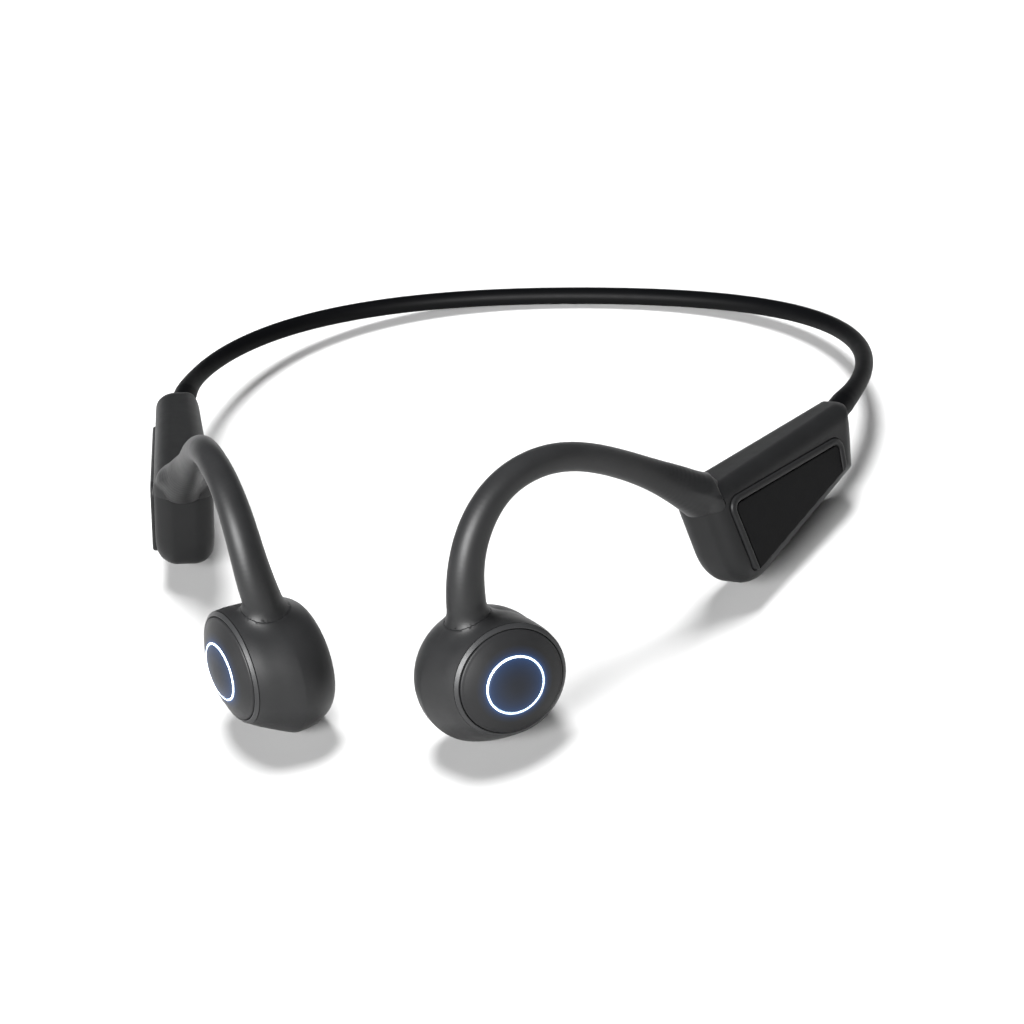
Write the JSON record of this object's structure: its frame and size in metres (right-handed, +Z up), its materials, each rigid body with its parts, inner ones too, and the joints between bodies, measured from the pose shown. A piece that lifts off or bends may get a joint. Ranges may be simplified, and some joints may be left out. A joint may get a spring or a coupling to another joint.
{
  "type": "bone conduction headphones",
  "caption": "Open-ear headset: a thin flexible neckband joins two flat tapered pods, each with a curved ear hook that ends in a round transducer capsule with a lit ring.",
  "frame": {"origin": "middle of the footprint, on the surface the headset lies on", "axes": "+X towards the wearer's left, -Y towards the front where the capsules are, +Y towards the nape, +Z up"},
  "size_m": [0.157, 0.1635, 0.054],
  "materials": {
    "silicone": "matte soft-touch silicone",
    "memory_wire": "drawn",
    "cable": "matte",
    "pod_plastic": "fine matte",
    "cover_plastic": "fine grain matte",
    "seal_rubber": "matte",
    "capsule_plastic": "soft-touch matte",
    "cap_plastic": "soft-touch matte",
    "light_guide": "milky, lit blue-white",
    "button_plastic": "soft-touch matte",
    "circuit_board": "solder mask",
    "switch_body": "moulded",
    "pad_silicone": "matte",
    "spring_steel": "etched",
    "yoke_steel": "plated",
    "magnet": "nickel plated",
    "copper": "enamelled winding",
    "battery_foil": "pouch foil",
    "foam": "foam tape",
    "shield_steel": "tinned",
    "antenna_ceramic": "glazed",
    "key_rubber": "matte",
    "flap_silicone": "matte",
    "port_steel": "stamped",
    "microphone_can": "plated"
  },
  "bodies": {
    "root": {"neckband_cable": "cable", "neckband_sleeve": "silicone", "neckband_wire": "memory_wire"},
    "left_side": {"left_battery": "battery_foil", "left_battery_board": "circuit_board", "left_battery_foam": "foam", "left_button_seal": "seal_rubber", "left_button_switch": "switch_body", "left_capsule_cap": "cap_plastic", "left_capsule_shell": "capsule_plastic", "left_contact_pad": "pad_silicone", "left_hook_cable": "cable", "left_hook_sleeve": "silicone", "left_hook_wire": "memory_wire", "left_light_board": "circuit_board", "left_light_ring": "light_guide", "left_magnet": "magnet", "left_pod_cover": "cover_plastic", "left_pod_gasket": "seal_rubber", "left_pod_shell": "pod_plastic", "left_spring_plate": "spring_steel", "left_voice_coil": "copper", "left_yoke": "yoke_steel"},
    "right_side": {"right_antenna": "antenna_ceramic", "right_button_seal": "seal_rubber", "right_button_switch": "switch_body", "right_capsule_cap": "cap_plastic", "right_capsule_shell": "capsule_plastic", "right_contact_pad": "pad_silicone", "right_hook_cable": "cable", "right_hook_sleeve": "silicone", "right_hook_wire": "memory_wire", "right_key_board": "circuit_board", "right_light_board": "circuit_board", "right_light_ring": "light_guide", "right_magnet": "magnet", "right_main_board": "circuit_board", "right_microphone": "microphone_can", "right_pod_cover": "cover_plastic", "right_pod_gasket": "seal_rubber", "right_pod_shell": "pod_plastic", "right_port_socket": "port_steel", "right_shield_can": "shield_steel", "right_spring_plate": "spring_steel", "right_voice_coil": "copper", "right_volume_down_switch": "switch_body", "right_volume_up_switch": "switch_body", "right_yoke": "yoke_steel"},
    "left_function_button": {"left_button": "button_plastic"},
    "right_function_button": {"right_button": "button_plastic"},
    "volume_up_key": {"right_volume_up": "key_rubber"},
    "volume_down_key": {"right_volume_down": "key_rubber"},
    "port_flap": {"right_port_flap": "flap_silicone"}
  },
  "joints": [
    {"name": "left_flex", "type": "hinge", "parent": "root", "child": "left_side", "pos_m": [0.071, 0.051, 0.009], "axis": [0, 0, 1], "range_deg": [-2, 16], "stiffness_Nm_per_rad": 0.7, "deforming": ["neckband_sleeve", "neckband_wire", "neckband_cable"]},
    {"name": "right_flex", "type": "hinge", "parent": "root", "child": "right_side", "pos_m": [-0.071, 0.051, 0.009], "axis": [0, 0, -1], "range_deg": [-2, 16], "stiffness_Nm_per_rad": 0.7, "deforming": ["neckband_sleeve", "neckband_wire", "neckband_cable"]},
    {"name": "left_button_press", "type": "slide", "parent": "left_side", "child": "left_function_button", "axis": [0.659, -0.7319, 0.1736], "range_m": [-0.0003, 0], "stiffness_N_per_m": 4000},
    {"name": "right_button_press", "type": "slide", "parent": "right_side", "child": "right_function_button", "axis": [-0.659, -0.7319, 0.1736], "range_m": [-0.0003, 0], "stiffness_N_per_m": 4000},
    {"name": "volume_up_press", "type": "slide", "parent": "right_side", "child": "volume_up_key", "axis": [-0.2232, 0.0033, -0.9748], "range_m": [-0.0003, 0], "stiffness_N_per_m": 4000},
    {"name": "volume_down_press", "type": "slide", "parent": "right_side", "child": "volume_down_key", "axis": [-0.2232, 0.0033, -0.9748], "range_m": [-0.0003, 0], "stiffness_N_per_m": 4000},
    {"name": "port_flap_hinge", "type": "hinge", "parent": "right_side", "child": "port_flap", "pos_m": [-0.06984, -0.00415, 0.00542], "axis": [-0.9132, -0.3505, 0.2079], "range_deg": [0, 80], "stiffness_Nm_per_rad": 0.0004}
  ]
}
